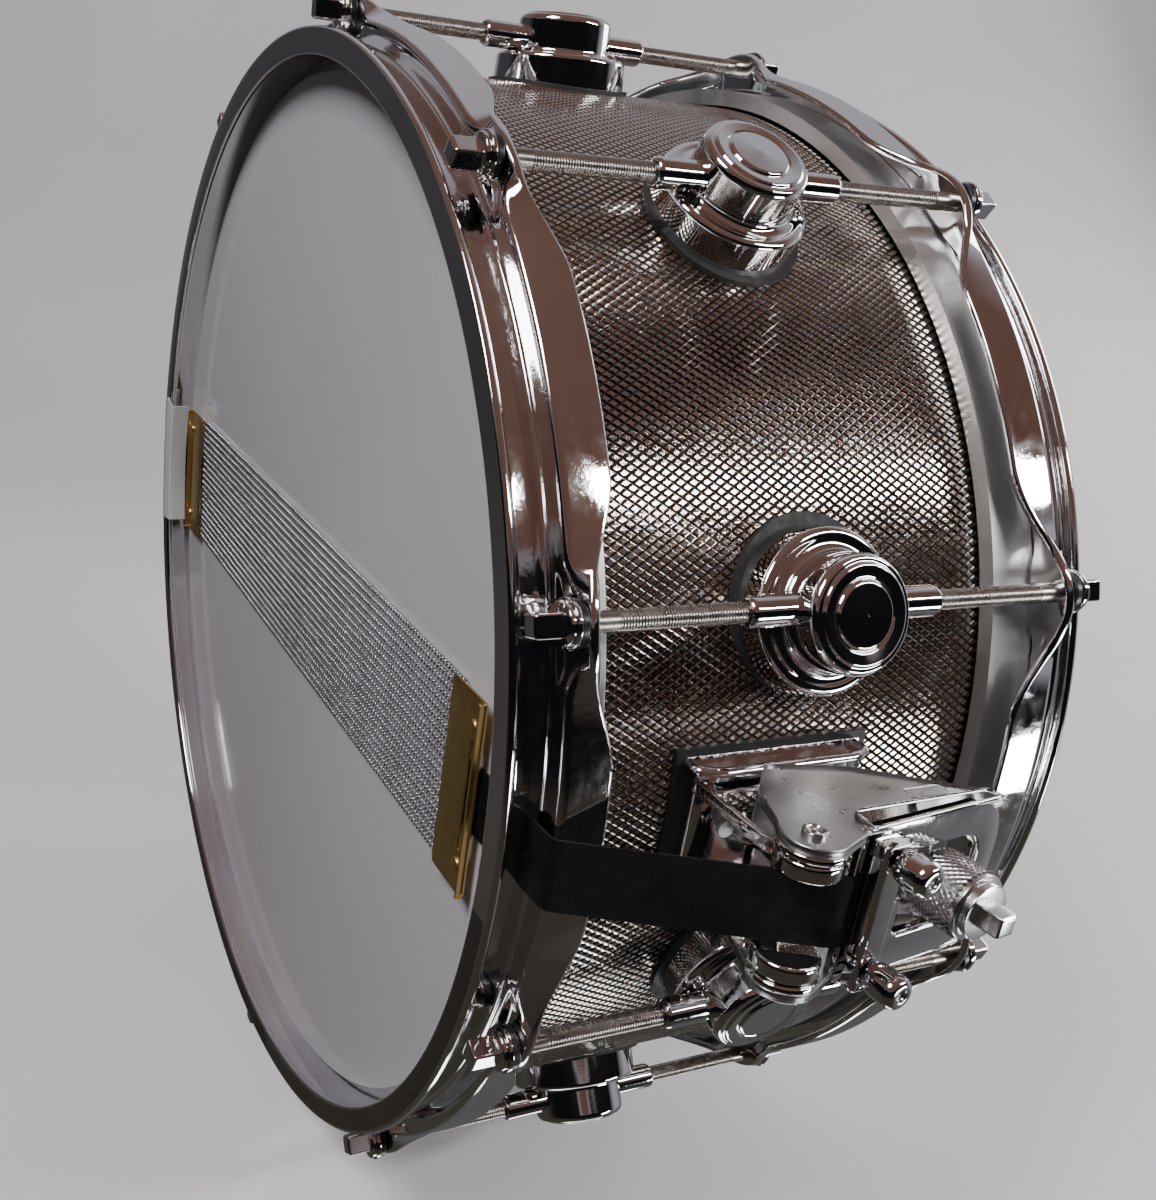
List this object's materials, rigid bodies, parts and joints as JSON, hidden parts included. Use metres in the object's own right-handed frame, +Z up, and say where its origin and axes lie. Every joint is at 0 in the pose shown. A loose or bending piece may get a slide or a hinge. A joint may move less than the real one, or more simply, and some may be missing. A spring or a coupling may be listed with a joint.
{
  "type": "snare drum",
  "caption": "Snare drum with a knurled metal shell, flanged hoops, round turret lugs, tension rods, a lever throw-off and a band of coiled snare wires.",
  "frame": {"origin": "centre of the snare-side rim face, which the drum stands on", "axes": "+Z up along the drum's axis to the batter head, -Y to the throw-off, +Y to the butt plate"},
  "size_m": [0.3948, 0.443, 0.1784],
  "materials": {
    "knurled_shell": "diamond knurled, dark nickel plated, glossy",
    "chrome": "polished",
    "nut_chrome": "polished, slightly darker",
    "rod_steel": "fine rolled thread, satin nickel",
    "zinc_steel": "zinc plated",
    "flesh_aluminium": "rolled, satin",
    "clear_film": "thin hazy clear film",
    "coated_film": "white rough coating",
    "black_rubber": "matt",
    "black_nylon": "moulded",
    "black_strap": "smooth woven ribbon",
    "wire_steel": "bright drawn wire",
    "brass": "satin plated"
  },
  "bodies": {
    "drum": {"shell": "knurled_shell", "vent_grommet": "chrome", "snare_head": "clear_film", "batter_head": "coated_film", "snare_flesh_hoop": "flesh_aluminium", "batter_flesh_hoop": "flesh_aluminium", "snare_hoop": "chrome", "batter_hoop": "chrome", "lug_gaskets": "black_rubber", "lug_screws": "zinc_steel", "swivel_nuts": "nut_chrome", "steel_washers": "chrome", "nylon_washers": "black_nylon", "throw_off_base": "chrome", "mounting_gaskets": "black_rubber", "throw_off_screws": "zinc_steel", "hinge_pins": "zinc_steel", "magnet": "zinc_steel", "throw_off_strap": "black_strap", "butt_base": "chrome", "butt_clamp": "chrome", "butt_screws": "chrome", "butt_strap": "black_strap", "lug_01": "chrome", "lug_02": "chrome", "lug_03": "chrome", "lug_04": "chrome", "lug_05": "chrome", "lug_06": "chrome", "lug_07": "chrome", "lug_08": "chrome", "lug_09": "chrome", "lug_10": "chrome"},
    "lever": {"throw_off_lever": "chrome", "strap_clamp": "chrome", "strap_clamp_screws": "chrome"},
    "tuner_foot": {"fine_tune_foot": "zinc_steel"},
    "tuner_knob": {"fine_tune_knob": "chrome"},
    "snares": {"snare_wires": "wire_steel", "wire_end_plates": "brass"},
    "snare_tension_01": {"snare_rod_01": "rod_steel"},
    "snare_tension_02": {"snare_rod_02": "rod_steel"},
    "snare_tension_03": {"snare_rod_03": "rod_steel"},
    "snare_tension_04": {"snare_rod_04": "rod_steel"},
    "snare_tension_05": {"snare_rod_05": "rod_steel"},
    "snare_tension_06": {"snare_rod_06": "rod_steel"},
    "snare_tension_07": {"snare_rod_07": "rod_steel"},
    "snare_tension_08": {"snare_rod_08": "rod_steel"},
    "snare_tension_09": {"snare_rod_09": "rod_steel"},
    "snare_tension_10": {"snare_rod_10": "rod_steel"},
    "batter_tension_01": {"batter_rod_01": "rod_steel"},
    "batter_tension_02": {"batter_rod_02": "rod_steel"},
    "batter_tension_03": {"batter_rod_03": "rod_steel"},
    "batter_tension_04": {"batter_rod_04": "rod_steel"},
    "batter_tension_05": {"batter_rod_05": "rod_steel"},
    "batter_tension_06": {"batter_rod_06": "rod_steel"},
    "batter_tension_07": {"batter_rod_07": "rod_steel"},
    "batter_tension_08": {"batter_rod_08": "rod_steel"},
    "batter_tension_09": {"batter_rod_09": "rod_steel"},
    "batter_tension_10": {"batter_rod_10": "rod_steel"}
  },
  "joints": [
    {"name": "lever_swing", "type": "hinge", "parent": "drum", "child": "lever", "pos_m": [0, -0.216, 0.061], "axis": [1, 0, 0], "range_deg": [0, 75], "deforming": ["throw_off_strap"]},
    {"name": "snare_drop", "type": "hinge", "parent": "drum", "child": "snares", "pos_m": [0, 0.156, 0.0085], "axis": [1, 0, 0], "range_deg": [0, 0.65]},
    {"name": "tuner_slide", "type": "slide", "parent": "lever", "child": "tuner_foot", "axis": [0, -0.9938, 0.1115], "range_m": [0, 0.0024]},
    {"name": "tuner_turn", "type": "hinge", "parent": "tuner_foot", "child": "tuner_knob", "pos_m": [0, -0.209, 0.103], "axis": [0, -0.9938, 0.1115], "range_deg": [0, 1083]},
    {"name": "snare_tension_01_turn", "type": "hinge", "parent": "drum", "child": "snare_tension_01", "pos_m": [-0.0584, -0.17975, 0.045], "axis": [0, 0, 1], "continuous": true},
    {"name": "snare_tension_02_turn", "type": "hinge", "parent": "drum", "child": "snare_tension_02", "pos_m": [-0.1529, -0.11109, 0.045], "axis": [0, 0, 1], "continuous": true},
    {"name": "snare_tension_03_turn", "type": "hinge", "parent": "drum", "child": "snare_tension_03", "pos_m": [-0.189, 0, 0.045], "axis": [0, 0, 1], "continuous": true},
    {"name": "snare_tension_04_turn", "type": "hinge", "parent": "drum", "child": "snare_tension_04", "pos_m": [-0.1529, 0.11109, 0.045], "axis": [0, 0, 1], "continuous": true},
    {"name": "snare_tension_05_turn", "type": "hinge", "parent": "drum", "child": "snare_tension_05", "pos_m": [-0.0584, 0.17975, 0.045], "axis": [0, 0, 1], "continuous": true},
    {"name": "snare_tension_06_turn", "type": "hinge", "parent": "drum", "child": "snare_tension_06", "pos_m": [0.0584, 0.17975, 0.045], "axis": [0, 0, 1], "continuous": true},
    {"name": "snare_tension_07_turn", "type": "hinge", "parent": "drum", "child": "snare_tension_07", "pos_m": [0.1529, 0.11109, 0.045], "axis": [0, 0, 1], "continuous": true},
    {"name": "snare_tension_08_turn", "type": "hinge", "parent": "drum", "child": "snare_tension_08", "pos_m": [0.189, 0, 0.045], "axis": [0, 0, 1], "continuous": true},
    {"name": "snare_tension_09_turn", "type": "hinge", "parent": "drum", "child": "snare_tension_09", "pos_m": [0.1529, -0.11109, 0.045], "axis": [0, 0, 1], "continuous": true},
    {"name": "snare_tension_10_turn", "type": "hinge", "parent": "drum", "child": "snare_tension_10", "pos_m": [0.0584, -0.17975, 0.045], "axis": [0, 0, 1], "continuous": true},
    {"name": "batter_tension_01_turn", "type": "hinge", "parent": "drum", "child": "batter_tension_01", "pos_m": [-0.0584, -0.17975, 0.1334], "axis": [0, 0, 1], "continuous": true},
    {"name": "batter_tension_02_turn", "type": "hinge", "parent": "drum", "child": "batter_tension_02", "pos_m": [-0.1529, -0.11109, 0.1334], "axis": [0, 0, 1], "continuous": true},
    {"name": "batter_tension_03_turn", "type": "hinge", "parent": "drum", "child": "batter_tension_03", "pos_m": [-0.189, 0, 0.1334], "axis": [0, 0, 1], "continuous": true},
    {"name": "batter_tension_04_turn", "type": "hinge", "parent": "drum", "child": "batter_tension_04", "pos_m": [-0.1529, 0.11109, 0.1334], "axis": [0, 0, 1], "continuous": true},
    {"name": "batter_tension_05_turn", "type": "hinge", "parent": "drum", "child": "batter_tension_05", "pos_m": [-0.0584, 0.17975, 0.1334], "axis": [0, 0, 1], "continuous": true},
    {"name": "batter_tension_06_turn", "type": "hinge", "parent": "drum", "child": "batter_tension_06", "pos_m": [0.0584, 0.17975, 0.1334], "axis": [0, 0, 1], "continuous": true},
    {"name": "batter_tension_07_turn", "type": "hinge", "parent": "drum", "child": "batter_tension_07", "pos_m": [0.1529, 0.11109, 0.1334], "axis": [0, 0, 1], "continuous": true},
    {"name": "batter_tension_08_turn", "type": "hinge", "parent": "drum", "child": "batter_tension_08", "pos_m": [0.189, 0, 0.1334], "axis": [0, 0, 1], "continuous": true},
    {"name": "batter_tension_09_turn", "type": "hinge", "parent": "drum", "child": "batter_tension_09", "pos_m": [0.1529, -0.11109, 0.1334], "axis": [0, 0, 1], "continuous": true},
    {"name": "batter_tension_10_turn", "type": "hinge", "parent": "drum", "child": "batter_tension_10", "pos_m": [0.0584, -0.17975, 0.1334], "axis": [0, 0, 1], "continuous": true}
  ],
  "couplings": [
    {"joint": "snare_drop", "follows": "lever_swing", "ratio": 0.008},
    {"joint": "tuner_turn", "follows": "tuner_slide", "rad_per_m": 7854}
  ]
}
